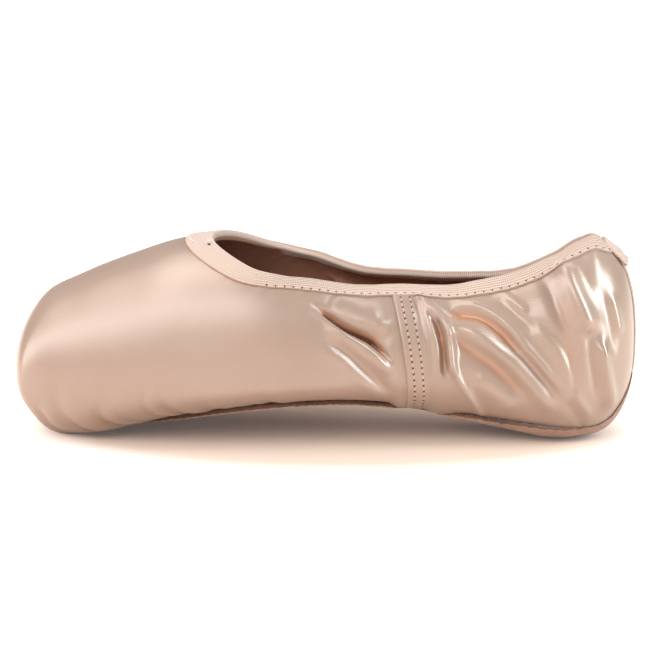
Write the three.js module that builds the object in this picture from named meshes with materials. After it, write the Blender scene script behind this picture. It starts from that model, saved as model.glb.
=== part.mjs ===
// Pointe shoe in satin, standing empty on its toe box and its heel, in millimetres.
// The toe points to -X, the heel to +X, +Z is up and the floor is at z = 0.
import * as THREE from "three";

// Driving dimensions
const SHOE_LENGTH = 232; // tip of the toe box to the back of the heel
const BALL_WIDTH = 82; // across the ball of the foot, outside
const HEEL_WIDTH = 56; // across the heel cup, outside
const INSTEP_HEIGHT = 74.5; // floor to the throat
const HEEL_HEIGHT = 73.5; // floor to the back of the collar
const ARCH_RISE = 15.2; // floor to the underside of the upper at the arch
const VAMP_LENGTH = 73.4; // tip of the toe box to the throat
const HEEL_LEAN = 14; // how far the elastic draws the back of the collar forward

const TOE_ROUND = 14; // length over which the toe box rounds into its tip, seen from the side
const TOE_UNDER_ROUND = 18; // the same below its widest line
const TOE_CORNER = 6; // and seen from above: the platform is wide and nearly flat
const HEEL_ROUND = 18; // the same two at the back of the heel
const HEEL_CORNER = 27;

const BOX_WALL = 3; // stiffened toe box
const QUARTER_WALL = 1.6; // satin and lining
const FIT_GAP = 0.3; // between pieces that touch
const SOLE_GAP = 0.5; // between the upper and the outsole, which meet round a tight curve
const LINING_GAP = 0.6; // between the wall and the insole
const SEAM_GAP = 0.5; // between the binding's lower edge and the seams below it

const SOLE_THICKNESS = 2;
const SOLE_SETBACK = 37; // tip of the toe box to the front of the outsole
const SOLE_HEEL_RISE = 24; // floor to the end of the outsole, drawn up the back of the heel
const LASTING_MARGIN = 8; // upper turned in under the outsole
const LASTING_HEEL_GAP = 9.6; // back of the heel to the upper's turned-in edge
const INSOLE_THICKNESS = 1.6;
const INSOLE_SETBACK = 21;
const INSOLE_HEEL_GAP = 11;

const BINDING_WIDTH = 6.2; // folded elastic along the collar, outside
const BINDING_INSIDE = 5.4; // and inside
const BINDING_THICKNESS = 1.1;
const BINDING_TAPER = 0.8; // thickness at its edges and fold, share of the thickness between
const SEAM_PLACE = 146; // tip of the toe box to the side seam at the collar
const SEAM_SLANT = 4; // how far its foot lies behind its top
const SEAM_WIDTH = 7.6; // felled side seam
const SEAM_THICKNESS = 0.8;
const BACK_SEAM_WIDTH = 4.4;
const TAB_WIDTH = 9; // folded tab over the back of the heel
const TAB_LENGTH = 14;
const TAB_THICKNESS = 1.6;

const RIBS = 88; // profiles round the shoe, from the toe, along one side, to the heel and back
const ROWS = 18; // rows of each profile from the outsole to the collar
const ROW_SPREAD = 1.2; // how much closer together the rows lie near the outsole
const STEPS = 56; // fine steps that each profile is measured in

// The last, a row for each section from toe to heel. along: share of the shoe's length.
// half: share of half the ball width, or of half the heel width towards the back.
// under: underside, share of the arch rise. widest: height of the widest line, share of the instep.
// crown: top of the closed section, share of the instep height, or of the heel height at the back.
// bulge: how square the section is above its widest line.
const SECTIONS = [
  { along: 0.0, half: 0.585, under: 0.14, widest: 0.345, crown: 0.6, bulge: 2.1 },
  { along: 0.034, half: 0.67, under: 0.06, widest: 0.34, crown: 0.672, bulge: 2.1 },
  { along: 0.06, half: 0.72, under: -0.035, widest: 0.335, crown: 0.722, bulge: 2.1 },
  { along: 0.095, half: 0.77, under: -0.08, widest: 0.333, crown: 0.772, bulge: 2.1 },
  { along: 0.138, half: 0.83, under: 0.0, widest: 0.332, crown: 0.831, bulge: 2.15 },
  { along: 0.19, half: 0.898, under: 0.26, widest: 0.335, crown: 0.892, bulge: 2.2 },
  { along: 0.25, half: 0.958, under: 0.51, widest: 0.34, crown: 0.954, bulge: 2.35 },
  { along: 0.316, half: 0.995, under: 0.72, widest: 0.349, crown: 0.997, bulge: 2.5 },
  { along: 0.388, half: 1.0, under: 0.89, widest: 0.362, crown: 1.01, bulge: 2.6 },
  { along: 0.466, half: 0.951, under: 1.0, widest: 0.376, crown: 0.935, bulge: 2.6 },
  { along: 0.552, half: 0.871, under: 1.0, widest: 0.389, crown: 0.822, bulge: 2.6 },
  { along: 0.638, half: 0.857, under: 0.85, widest: 0.4, crown: 0.805, bulge: 2.5 },
  { along: 0.724, half: 0.918, under: 0.61, widest: 0.41, crown: 0.808, bulge: 2.4 },
  { along: 0.81, half: 0.984, under: 0.32, widest: 0.425, crown: 0.858, bulge: 2.3 },
  { along: 0.879, half: 0.964, under: 0.1, widest: 0.452, crown: 0.955, bulge: 2.2 },
  { along: 0.931, half: 0.93, under: 0.095, widest: 0.466, crown: 1.012, bulge: 2.1 },
  { along: 1.0, half: 0.893, under: 0.14, widest: 0.48, crown: 1.03, bulge: 2.1 },
];
const HEEL_BLEND = { from: 0.5, to: 0.85 }; // where the heel's sizes take over from the ball's
const LOWER_BULGE = 2.7; // how square a section is below its widest line
const END_BULGE = 2.3; // how square the two ends of the last are
const TOE_UNDER_BULGE = 2; // and the toe below its widest line

// The collar opening in plan. turn: degrees from the throat to the back of the heel.
// gap: half the opening, share of half the ball width.
const OPENING = [
  { turn: 0, gap: 0.84 },
  { turn: 38, gap: 0.84 },
  { turn: 52, gap: 0.74 },
  { turn: 65, gap: 0.585 },
  { turn: 78, gap: 0.42 },
  { turn: 90, gap: 0.335 },
  { turn: 120, gap: 0.3 },
  { turn: 180, gap: 0.28 },
];
const THROAT_ROUND = 4; // how square the two ends of the opening are
const COLLAR_BACK_ROUND = 3;

// Half width of the outsole along the shoe, share of the last's own there.
const SOLE_OUTLINE = [
  { along: 0.0, share: 0.56 },
  { along: 0.25, share: 0.66 },
  { along: 0.38, share: 0.69 },
  { along: 0.5, share: 0.64 },
  { along: 0.62, share: 0.58 },
  { along: 0.75, share: 0.66 },
  { along: 0.88, share: 0.74 },
  { along: 1.0, share: 0.76 },
];
const INSOLE_SHARE = 0.7; // the insole's, the same all along
const SOLE_FRONT_ROUND = 4.5;
const SOLE_BACK_ROUND = 4.5;

const CORE_HEIGHT = 0.44 * INSTEP_HEIGHT; // height of the line that the profiles are turned about
const CORE_PULL = 0.2; // how far that line stays inside both ends of the shoe
const REACH = 0.55 * BALL_WIDTH; // how far a profile's guide curve bellies out

// Smooth value of one column of a table at a place along its key column.
function column(table, key, name, at) {
  const last = table.length - 1;
  let i = 0;
  while (i < last - 1 && at > table[i + 1][key]) i++;
  const slope = (a, b) =>
    (table[b][name] - table[a][name]) / (table[b][key] - table[a][key]);
  const span = table[i + 1][key] - table[i][key];
  const t = THREE.MathUtils.clamp((at - table[i][key]) / span, 0, 1);
  const startSlope = slope(Math.max(i - 1, 0), i + 1) * span;
  const endSlope = slope(i, Math.min(i + 2, last)) * span;
  const t2 = t * t;
  const t3 = t2 * t;
  return (
    (2 * t3 - 3 * t2 + 1) * table[i][name] +
    (t3 - 2 * t2 + t) * startSlope +
    (3 * t2 - 2 * t3) * table[i + 1][name] +
    (t3 - t2) * endSlope
  );
}

// 1 away from an end of the shoe, falling to 0 at the end itself on a rounded curve.
function endRound(distance, length, power) {
  if (distance >= length) return 1;
  const t = 1 - Math.max(distance, 0) / length;
  return (1 - t ** power) ** (1 / power);
}

// Section of the last at a distance behind the tip of the toe.
function section(behindTip) {
  const along = behindTip / SHOE_LENGTH;
  const before = SHOE_LENGTH - behindTip;
  const rear = THREE.MathUtils.smoothstep(along, HEEL_BLEND.from, HEEL_BLEND.to);
  const halfSize = THREE.MathUtils.lerp(BALL_WIDTH, HEEL_WIDTH, rear) / 2;
  const crownSize = THREE.MathUtils.lerp(INSTEP_HEIGHT, HEEL_HEIGHT, rear);
  const widest = column(SECTIONS, "along", "widest", along) * INSTEP_HEIGHT;
  const crown = column(SECTIONS, "along", "crown", along) * crownSize;
  const under = column(SECTIONS, "along", "under", along) * ARCH_RISE;
  const wide = column(SECTIONS, "along", "half", along) * halfSize;
  const planRound =
    endRound(behindTip, TOE_CORNER, END_BULGE) * endRound(before, HEEL_CORNER, END_BULGE);
  const heelRound = endRound(before, HEEL_ROUND, END_BULGE);
  const upRound = endRound(behindTip, TOE_ROUND, END_BULGE) * heelRound;
  const downRound = endRound(behindTip, TOE_UNDER_ROUND, TOE_UNDER_BULGE) * heelRound;
  return {
    widest,
    wide,
    half: wide * planRound,
    rise: (crown - widest) * upRound,
    drop: (widest - under) * downRound,
    bulge: column(SECTIONS, "along", "bulge", along),
  };
}

// Below 1 inside the last, 1 on its surface.
function fill(point) {
  if (point.x <= 0 || point.x >= SHOE_LENGTH) return Infinity;
  const s = section(point.x);
  const high = point.z > s.widest;
  const bulge = high ? s.bulge : LOWER_BULGE;
  const height = Math.abs(point.z - s.widest) / (high ? s.rise : s.drop);
  return (Math.abs(point.y) / s.half) ** bulge + height ** bulge;
}

// Outward direction of the last's surface.
function outward(point) {
  const step = 0.05;
  const probe = (x, y, z) => fill(new THREE.Vector3(x, y, z).add(point));
  const difference = (ahead, behind) =>
    Number.isFinite(ahead) && Number.isFinite(behind) ? ahead - behind : 0;
  const tip = point.x < step ? -1 : point.x > SHOE_LENGTH - step ? 1 : 0;
  if (tip) return new THREE.Vector3(tip, 0, 0);
  return new THREE.Vector3(
    difference(probe(step, 0, 0), probe(-step, 0, 0)),
    difference(probe(0, step, 0), probe(0, -step, 0)),
    difference(probe(0, 0, step), probe(0, 0, -step)),
  ).normalize();
}

// Top or underside of the last at a place in plan.
function surfaceHeight(x, y, side) {
  const s = section(x);
  const bulge = side > 0 ? s.bulge : LOWER_BULGE;
  const inside = Math.max(1 - (Math.abs(y) / s.half) ** bulge, 0) ** (1 / bulge);
  return s.widest + side * inside * (side > 0 ? s.rise : s.drop);
}

// Where a ray from the core through a guide point leaves the last.
function project(core, guide) {
  let inside = 0.05;
  let outside = 4;
  const halvings = 40;
  const at = (t) => core.clone().lerp(guide, t);
  for (let i = 0; i < halvings; i++) {
    const middle = (inside + outside) / 2;
    if (fill(at(middle)) < 1) inside = middle;
    else outside = middle;
  }
  return at(inside);
}

// Closed loop in plan between two ends: place along it and share of its half width there.
function loopPlace(turn, front, middle, back, frontRound, backRound) {
  const c = Math.cos(turn);
  const x = c > 0 ? middle - (middle - front) * c : middle + (middle - back) * c;
  const power = c > 0 ? frontRound : backRound;
  const width = Math.sqrt(Math.max(1 - Math.abs(c) ** power, 0));
  return { x, side: -Math.sign(Math.sin(turn)) * width };
}

const collarBack = SHOE_LENGTH - HEEL_LEAN;
const waist = (VAMP_LENGTH + collarBack) / 2;

// Middle line of the last's underside from a place near the toe back to the heel, and up the
// heel's back to a height. Each point has its distance from the front and its outward direction.
function underLine(front, back, rise) {
  const line = [];
  const steps = 240;
  for (let i = 0; i <= steps; i++) {
    const x = front + (back - front) * Math.sin((Math.PI / 2) * (i / steps));
    const point = new THREE.Vector3(x, 0, surfaceHeight(x, 0, -1));
    if (x > waist && point.z > rise) break;
    const run = i ? line.at(-1).run + point.distanceTo(line.at(-1).point) : 0;
    line.push({ point, run, out: outward(point) });
  }
  return line;
}

// Half width of a plate under the foot at a point of its middle line, rounded off at both ends.
function plateHalf(line, at, half) {
  const middle = line.findLast((p) => p.point.x <= waist).run;
  const end = at.run < middle ? 0 : line.at(-1).run;
  const power = at.run < middle ? SOLE_FRONT_ROUND : SOLE_BACK_ROUND;
  const c = (at.run - middle) / (end - middle);
  return half(at.point.x) * Math.sqrt(Math.max(1 - c ** power, 0));
}

const soleLine = underLine(SOLE_SETBACK, SHOE_LENGTH - FIT_GAP, SOLE_HEEL_RISE);

function soleHalf(x) {
  return column(SOLE_OUTLINE, "along", "share", x / SHOE_LENGTH) * section(x).wide;
}

// Whether a point of the last's surface lies outside the outsole's outline.
function clearOfSole(point) {
  const apart = (at) => Math.hypot(at.point.x - point.x, at.point.z - point.z);
  const near = soleLine.reduce((a, b) => (apart(b) < apart(a) ? b : a));
  return near === soleLine.at(-1) || Math.abs(point.y) > plateHalf(soleLine, near, soleHalf);
}

// Collar edge at one turn round the shoe, on the last's surface.
function collarPoint(turn) {
  const at = loopPlace(
    turn,
    VAMP_LENGTH,
    waist,
    collarBack,
    THROAT_ROUND,
    COLLAR_BACK_ROUND,
  );
  const degrees = THREE.MathUtils.radToDeg(Math.acos(Math.cos(turn)));
  const gap = (column(OPENING, "turn", "gap", degrees) * BALL_WIDTH) / 2;
  const y = at.side * gap;
  return new THREE.Vector3(at.x, y, surfaceHeight(at.x, y, 1));
}

// Edge of the upper where it is turned in under the outsole.
function lastingPoint(turn) {
  const at = loopPlace(
    turn,
    SOLE_SETBACK + LASTING_MARGIN,
    waist,
    SHOE_LENGTH - LASTING_HEEL_GAP,
    SOLE_FRONT_ROUND,
    SOLE_BACK_ROUND,
  );
  const y = at.side * Math.min(soleHalf(at.x) - LASTING_MARGIN, section(at.x).half / 2);
  return new THREE.Vector3(at.x, y, surfaceHeight(at.x, y, -1));
}

// Profile of the upper at one turn, from the lasting edge over the side or toe to the collar.
function makeRib(turn) {
  const start = lastingPoint(turn);
  const end = collarPoint(turn);
  const middle = (start.x + end.x) / 2;
  const core = new THREE.Vector3(
    THREE.MathUtils.lerp(middle, SHOE_LENGTH / 2, CORE_PULL),
    0,
    CORE_HEIGHT,
  );
  const out = new THREE.Vector3(-Math.cos(turn), -Math.sin(turn), 0);
  const guide = new THREE.CubicBezierCurve3(
    start,
    start.clone().addScaledVector(out, REACH),
    end.clone().addScaledVector(out, REACH),
    end,
  );
  const points = guide.getPoints(STEPS).map((p) => project(core, p));
  const lengths = [0];
  for (let i = 1; i < points.length; i++)
    lengths.push(lengths[i - 1] + points[i].distanceTo(points[i - 1]));
  return { points, lengths, total: lengths.at(-1) };
}

// Point on a rib at a distance from its lasting edge, moved off the last along its outward
// direction. Past either end of the rib it runs on straight.
function onRib(rib, distance, offset) {
  const last = rib.points.length - 1;
  let i = 0;
  while (i < last - 1 && distance > rib.lengths[i + 1]) i++;
  const t = (distance - rib.lengths[i]) / (rib.lengths[i + 1] - rib.lengths[i]);
  const point = rib.points[i].clone().lerp(rib.points[i + 1], t);
  const foot = rib.points[i]
    .clone()
    .lerp(rib.points[i + 1], THREE.MathUtils.clamp(t, 0, 1));
  return point.addScaledVector(outward(foot), offset);
}

// The floor flattens what would reach below it.
function overFloor(point) {
  point.z = Math.max(point.z, 0);
  return point;
}

// Wall of the upper at a distance along a rib: stiff round the toe, thin at the collar.
function wallAt(rib, distance) {
  const { smoothstep, lerp } = THREE.MathUtils;
  const open = rib.total - distance;
  const stiff =
    smoothstep(open, BINDING_WIDTH, BINDING_WIDTH * 3) *
    (1 - smoothstep(rib.points.at(-1).x, VAMP_LENGTH, VAMP_LENGTH * 1.7));
  return lerp(QUARTER_WALL, BOX_WALL, stiff);
}

// Closed body through rings of points. A loop joins the last ring to the first;
// otherwise both end rings are capped.
function loft(name, rings, closed, material) {
  const size = rings[0].length;
  const vertices = rings.flat().flatMap((p) => [p.x, p.y, p.z]);
  const faces = [];
  const quad = (a, b, c, d) => faces.push(a, b, c, a, c, d);
  const stretches = closed ? rings.length : rings.length - 1;
  for (let i = 0; i < stretches; i++) {
    const here = i * size;
    const next = ((i + 1) % rings.length) * size;
    for (let j = 0; j < size; j++) {
      const k = (j + 1) % size;
      quad(here + j, next + j, next + k, here + k);
    }
  }
  // An end ring folds about its middle, so strips between its two halves close it.
  const cap = (first, flip) => {
    for (let j = 0; j < size / 2 - 1; j++) {
      const corners = [j, size - 1 - j, size - 2 - j, j + 1].map((k) => first + k);
      if (!flip) corners.reverse();
      quad(...corners);
    }
  };
  if (!closed) {
    cap(0, false);
    cap((rings.length - 1) * size, true);
  }
  const geometry = new THREE.BufferGeometry();
  geometry.setAttribute("position", new THREE.Float32BufferAttribute(vertices, 3));
  geometry.setIndex(faces);
  geometry.computeVertexNormals();
  const mesh = new THREE.Mesh(geometry, material);
  mesh.name = name;
  return mesh;
}

const finish = (color, roughness) =>
  new THREE.MeshStandardMaterial({ color, roughness, metalness: 0 });
const satin = finish("#e3c4b0", 0.38);
const lining = finish("#b98d7b", 0.85);
const elastic = finish("#e2c9bd", 0.8);
const suede = finish("#a97b63", 0.9);
const tape = finish("#dfc2b1", 0.6);

const turns = Array.from({ length: RIBS }, (_, i) => (2 * Math.PI * i) / RIBS);
const ribs = turns.map(makeRib);

// Upper: one wall from the lasting edge to the collar, with its rows closer together
// round the toe box than along the vamp. The last two follow the binding's own rows.
function upper() {
  const rings = ribs.map((rib) => {
    const free = rib.total - BINDING_WIDTH;
    const rows = Array.from(
      { length: ROWS - 1 },
      (_, i) => free * (i / (ROWS - 2)) ** ROW_SPREAD,
    );
    rows.push(rib.total - BINDING_WIDTH / 2, rib.total);
    const outer = rows.map((row) => overFloor(onRib(rib, row, 0)));
    const inner = rows.map((row) => onRib(rib, row, -wallAt(rib, row)));
    return [...outer, ...inner.reverse()];
  });
  return loft("upper", rings, true, satin);
}

// Elastic binding folded over the collar edge, clear of both faces of the upper.
function binding() {
  const rings = ribs.map((rib) => {
    const inside = -QUARTER_WALL - FIT_GAP;
    const outside = FIT_GAP;
    const thin = BINDING_THICKNESS * BINDING_TAPER;
    const half = BINDING_THICKNESS / 2;
    const middle = BINDING_WIDTH / 2;
    const fold = -FIT_GAP - thin;
    const below = (depth, offset) => onRib(rib, rib.total - depth, offset);
    return [
      below(BINDING_WIDTH, outside),
      below(BINDING_WIDTH, outside + thin),
      below(middle, outside + BINDING_THICKNESS),
      below(0, outside + BINDING_THICKNESS),
      below(fold, outside + half),
      below(fold, inside - half),
      below(0, inside - BINDING_THICKNESS),
      below(middle, inside - BINDING_THICKNESS),
      below(BINDING_INSIDE, inside - thin),
      below(BINDING_INSIDE, inside),
      below(middle, inside),
      below(-FIT_GAP, inside),
      below(-FIT_GAP, outside),
      below(middle, outside),
    ];
  });
  return loft("collar_binding", rings, true, elastic);
}

// Plate under the foot between two offsets from the last's surface, from its front to its back.
function plate({ name, line, half, from, to, stations, across, material }) {
  const depth = INSTEP_HEIGHT / 4;
  const rings = Array.from({ length: stations }, (_, i) => {
    const share = (1 - Math.cos((Math.PI * (i + 0.5)) / stations)) / 2;
    const at = line.findLast((p) => p.run <= share * line.at(-1).run);
    const width = plateHalf(line, at, half);
    const row = (offset) =>
      Array.from({ length: across + 1 }, (_, j) => {
        const guide = at.point.clone();
        guide.y = -width * Math.cos((Math.PI * j) / across);
        const core = guide.clone().addScaledVector(at.out, -depth);
        const foot = project(core, guide);
        return overFloor(foot.addScaledVector(outward(foot), offset));
      });
    return [...row(from), ...row(to).reverse()];
  });
  return loft(name, rings, false, material);
}

const outsole = () =>
  plate({
    name: "outsole",
    line: soleLine,
    half: soleHalf,
    from: SOLE_GAP,
    to: SOLE_GAP + SOLE_THICKNESS,
    stations: 38,
    across: 8,
    material: suede,
  });

const insole = () =>
  plate({
    name: "insole",
    line: underLine(INSOLE_SETBACK, SHOE_LENGTH - INSOLE_HEEL_GAP, HEEL_HEIGHT),
    half: (x) => section(x).half * INSOLE_SHARE,
    from: -BOX_WALL - LINING_GAP - INSOLE_THICKNESS,
    to: -BOX_WALL - LINING_GAP,
    stations: 30,
    across: 6,
    material: lining,
  });

// Turn of the rib whose collar edge is at a distance behind the tip, past the waist.
const turnAt = (x) => Math.acos(-(x - waist) / (collarBack - waist));

// Strip laid on the upper along its ribs, from a low turn at its foot to a high one at its top.
function strip({ name, low, high, width, from, to, start, end, steps, across, material }) {
  const step = 0.01;
  const rings = Array.from({ length: steps + 1 }, (_, i) => {
    const turn = THREE.MathUtils.lerp(low, high, i / steps);
    const place = (offTurn, offset) => {
      const rib = makeRib(turn + offTurn);
      return onRib(rib, THREE.MathUtils.lerp(start(rib), end(rib), i / steps), offset);
    };
    const reach = (width * step) / place(-step, 0).distanceTo(place(step, 0));
    const row = (offset) =>
      Array.from({ length: across + 1 }, (_, j) =>
        place(((2 * j) / across - 1) * reach, offset),
      );
    return [...row(from), ...row(to).reverse()];
  });
  return loft(name, rings, false, material);
}

const underBinding = BINDING_WIDTH + SEAM_GAP;

// Distance along a rib from its lasting edge to just past the outsole.
function pastSole(rib) {
  const shows = rib.points.findIndex((p, i) => i > 1 && clearOfSole(p));
  return rib.lengths[shows] + SOLE_THICKNESS + SOLE_GAP;
}

const sideSeam = (name, side) =>
  strip({
    name,
    low: side * turnAt(SEAM_PLACE + SEAM_SLANT),
    high: side * turnAt(SEAM_PLACE),
    width: SEAM_WIDTH,
    from: FIT_GAP,
    to: FIT_GAP + SEAM_THICKNESS,
    start: pastSole,
    end: (rib) => rib.total - underBinding,
    steps: 14,
    across: 2,
    material: tape,
  });

const backSeam = () =>
  strip({
    name: "back_seam",
    low: Math.PI,
    high: Math.PI,
    width: BACK_SEAM_WIDTH,
    from: FIT_GAP,
    to: FIT_GAP + SEAM_THICKNESS,
    start: pastSole,
    end: (rib) => rib.total - underBinding,
    steps: 16,
    across: 2,
    material: tape,
  });

const heelTab = () => {
  const seat = FIT_GAP + BINDING_THICKNESS + 2 * FIT_GAP;
  return strip({
    name: "heel_tab",
    low: Math.PI,
    high: Math.PI,
    width: TAB_WIDTH,
    from: seat,
    to: seat + TAB_THICKNESS,
    start: (rib) => rib.total - TAB_LENGTH,
    end: (rib) => rib.total - TAB_THICKNESS,
    steps: 6,
    across: 6,
    material: elastic,
  });
};

const shoe = new THREE.Group();
shoe.name = "pointe_shoe";
shoe.add(
  upper(),
  outsole(),
  insole(),
  binding(),
  sideSeam("side_seam_near", 1),
  sideSeam("side_seam_far", -1),
  backSeam(),
  heelTab(),
);
// The origin is on the floor, under the middle of the shoe.
const box = new THREE.Box3().setFromObject(shoe);
shoe.position.x = -(box.min.x + box.max.x) / 2;

export default shoe;
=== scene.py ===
"""Pointe shoe in satin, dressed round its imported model.

The toe points to -X, the heel to +X, +Z is up and the floor is at z = 0. Blender works in metres. The
shoe's own sizes are in millimetres, with x measured back from the tip of the toe box.
"""
import math

import bmesh
import bpy
import numpy as np
from mathutils import Matrix, Vector


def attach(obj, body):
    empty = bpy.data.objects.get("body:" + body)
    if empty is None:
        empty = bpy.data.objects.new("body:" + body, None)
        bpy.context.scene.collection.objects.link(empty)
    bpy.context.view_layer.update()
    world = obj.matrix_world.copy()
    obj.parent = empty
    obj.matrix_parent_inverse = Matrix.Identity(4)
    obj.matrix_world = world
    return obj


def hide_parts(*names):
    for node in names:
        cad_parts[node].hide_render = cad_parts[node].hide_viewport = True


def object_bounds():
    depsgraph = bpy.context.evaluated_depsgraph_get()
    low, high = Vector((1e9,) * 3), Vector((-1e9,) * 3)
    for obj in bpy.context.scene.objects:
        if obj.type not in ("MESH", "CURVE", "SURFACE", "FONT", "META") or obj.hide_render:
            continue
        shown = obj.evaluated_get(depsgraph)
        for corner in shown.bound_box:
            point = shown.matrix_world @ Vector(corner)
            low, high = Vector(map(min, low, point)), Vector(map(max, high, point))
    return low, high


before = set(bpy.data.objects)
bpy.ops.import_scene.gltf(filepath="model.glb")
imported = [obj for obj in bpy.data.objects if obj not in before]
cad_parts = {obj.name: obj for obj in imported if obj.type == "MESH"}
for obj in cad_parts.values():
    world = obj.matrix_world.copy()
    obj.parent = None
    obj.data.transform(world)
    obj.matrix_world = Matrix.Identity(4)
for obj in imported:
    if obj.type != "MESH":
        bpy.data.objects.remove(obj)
cad_low, cad_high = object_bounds()
scene = bpy.context.scene

# Camera
# The photograph looks at the near side of the shoe, from a little towards the heel and from a
# little above, with a long lens.
CAMERA_AZIMUTH = math.radians(3.5)
CAMERA_ELEVATION = math.radians(13)
CAMERA_DISTANCE = 1.0
CAMERA_LENS = 146.8
CAMERA_SENSOR = 36
CAMERA_AIM = Vector((-0.0004, 0, 0.0398))

camera = bpy.data.objects.new("camera", bpy.data.cameras.new("camera"))
scene.collection.objects.link(camera)
camera_side = Vector((
    math.sin(CAMERA_AZIMUTH) * math.cos(CAMERA_ELEVATION),
    -math.cos(CAMERA_AZIMUTH) * math.cos(CAMERA_ELEVATION),
    math.sin(CAMERA_ELEVATION),
))
camera.location = CAMERA_AIM + camera_side * CAMERA_DISTANCE
camera.rotation_euler = (-camera_side).to_track_quat("-Z", "Y").to_euler()
camera.data.lens = CAMERA_LENS
camera.data.sensor_width = CAMERA_SENSOR
scene.camera = camera

# Upper
# Satin over a canvas lining, cut in a vamp and two quarters and pulled over a straight last. It is
# stiffened round the toes, and its edge is pleated and turned in under the sole.
MM = 0.001
SHOE_LENGTH = 232
BALL_WIDTH = 82
HEEL_WIDTH = 56
INSTEP_HEIGHT = 74.5
HEEL_HEIGHT = 73.5
ARCH_RISE = 15.2
VAMP_LENGTH = 73.4
HEEL_LEAN = 14
TOE_ROUND = 14
TOE_UNDER_ROUND = 18
TOE_CORNER = 6
HEEL_ROUND = 18
HEEL_CORNER = 27
SOLE_SETBACK = 37
LASTING_MARGIN = 8
LASTING_HEEL_GAP = 9.6
BOX_WALL = 3
QUARTER_WALL = 1.0

# The last: underside as a share of the arch rise, crown and widest line as shares of the instep
# height, half width as a share of half the ball width, or of the heel's sizes towards the back.
LAST = {
    "along": (0, .034, .06, .095, .138, .19, .25, .316, .388, .466, .552, .638, .724, .81, .879, .931, 1),
    "half": (.585, .67, .72, .77, .83, .898, .958, .995, 1, .951, .871, .857, .918, .984, .964, .93, .893),
    "under": (.14, .06, -.035, -.08, 0, .26, .51, .72, .89, 1, 1, .85, .61, .32, .1, .095, .14),
    "widest": (.345, .34, .335, .333, .332, .335, .34, .349, .362, .376, .389, .4, .41, .425, .452,
               .466, .48),
    "crown": (.6, .672, .722, .772, .831, .892, .954, .997, 1.01, .935, .822, .805, .808, .858, .955,
              1.012, 1.03),
    "bulge": (2.1, 2.1, 2.1, 2.1, 2.15, 2.2, 2.35, 2.5, 2.6, 2.6, 2.6, 2.5, 2.4, 2.3, 2.2, 2.1, 2.1),
}
HEEL_BLEND = (0.5, 0.85)
LOWER_BULGE = 2.7
END_BULGE = 2.3
TOE_UNDER_BULGE = 2
COLLAR = {"turn": (0, 38, 52, 65, 78, 90, 120, 180), "gap": (.84, .84, .74, .585, .42, .335, .3, .28)}
THROAT_ROUND = 4
COLLAR_BACK_ROUND = 3
SOLE_OUTLINE = {
    "along": (0, .25, .38, .5, .62, .75, .88, 1),
    "share": (.56, .66, .69, .64, .58, .66, .74, .76),
}
SOLE_END_ROUND = 4.5
CORE_HEIGHT = 0.44 * INSTEP_HEIGHT
CORE_PULL = 0.2
REACH = 0.55 * BALL_WIDTH
collar_back = SHOE_LENGTH - HEEL_LEAN
waist = (VAMP_LENGTH + collar_back) / 2


def column(table, name, at):
    """Smooth curve through one column of a table, at places along its first column."""
    keys = np.array(next(iter(table.values())), float)
    values = np.array(table[name], float)
    last = len(keys) - 1
    i = np.clip(np.searchsorted(keys[1:], at), 0, last - 1)
    span = keys[i + 1] - keys[i]
    t = np.clip((at - keys[i]) / span, 0, 1)
    before = np.maximum(i - 1, 0)
    after = np.minimum(i + 2, last)
    start = (values[i + 1] - values[before]) / (keys[i + 1] - keys[before]) * span
    end = (values[after] - values[i]) / (keys[after] - keys[i]) * span
    return (
        (2 * t**3 - 3 * t**2 + 1) * values[i]
        + (t**3 - 2 * t**2 + t) * start
        + (3 * t**2 - 2 * t**3) * values[i + 1]
        + (t**3 - t**2) * end
    )


def smooth(at, low, high):
    """0 below low, 1 above high, and a soft step between them."""
    t = np.clip((at - low) / (high - low), 0, 1)
    return t * t * (3 - 2 * t)


def end_round(distance, length, power):
    """1 away from an end of the shoe, falling to 0 at the end itself on a rounded curve."""
    t = 1 - np.clip(distance / length, 0, 1)
    return (1 - t**power) ** (1 / power)


def section(x):
    """Widest line, full half width, half width, rise, drop and squareness of the last at x."""
    along = x / SHOE_LENGTH
    before = SHOE_LENGTH - x
    rear = smooth(along, *HEEL_BLEND)
    half_size = (BALL_WIDTH + (HEEL_WIDTH - BALL_WIDTH) * rear) / 2
    crown_size = INSTEP_HEIGHT + (HEEL_HEIGHT - INSTEP_HEIGHT) * rear
    widest = column(LAST, "widest", along) * INSTEP_HEIGHT
    crown = column(LAST, "crown", along) * crown_size
    under = column(LAST, "under", along) * ARCH_RISE
    wide = column(LAST, "half", along) * half_size
    plan = end_round(x, TOE_CORNER, END_BULGE) * end_round(before, HEEL_CORNER, END_BULGE)
    heel = end_round(before, HEEL_ROUND, END_BULGE)
    rise = (crown - widest) * end_round(x, TOE_ROUND, END_BULGE) * heel
    drop = (widest - under) * end_round(x, TOE_UNDER_ROUND, TOE_UNDER_BULGE) * heel
    return widest, wide, wide * plan, rise, drop, column(LAST, "bulge", along)


def fill(points):
    """Below 1 inside the last, 1 on its surface."""
    x, y, z = points[..., 0], points[..., 1], points[..., 2]
    tiny = 1e-6
    inside = (x > 0) & (x < SHOE_LENGTH)
    widest, _, half, rise, drop, bulge = section(np.clip(x, tiny, SHOE_LENGTH - tiny))
    high = z > widest
    power = np.where(high, bulge, LOWER_BULGE)
    size = np.maximum(np.where(high, rise, drop), tiny)
    value = (np.abs(y) / np.maximum(half, tiny)) ** power + (np.abs(z - widest) / size) ** power
    return np.where(inside, value, np.inf)


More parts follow.
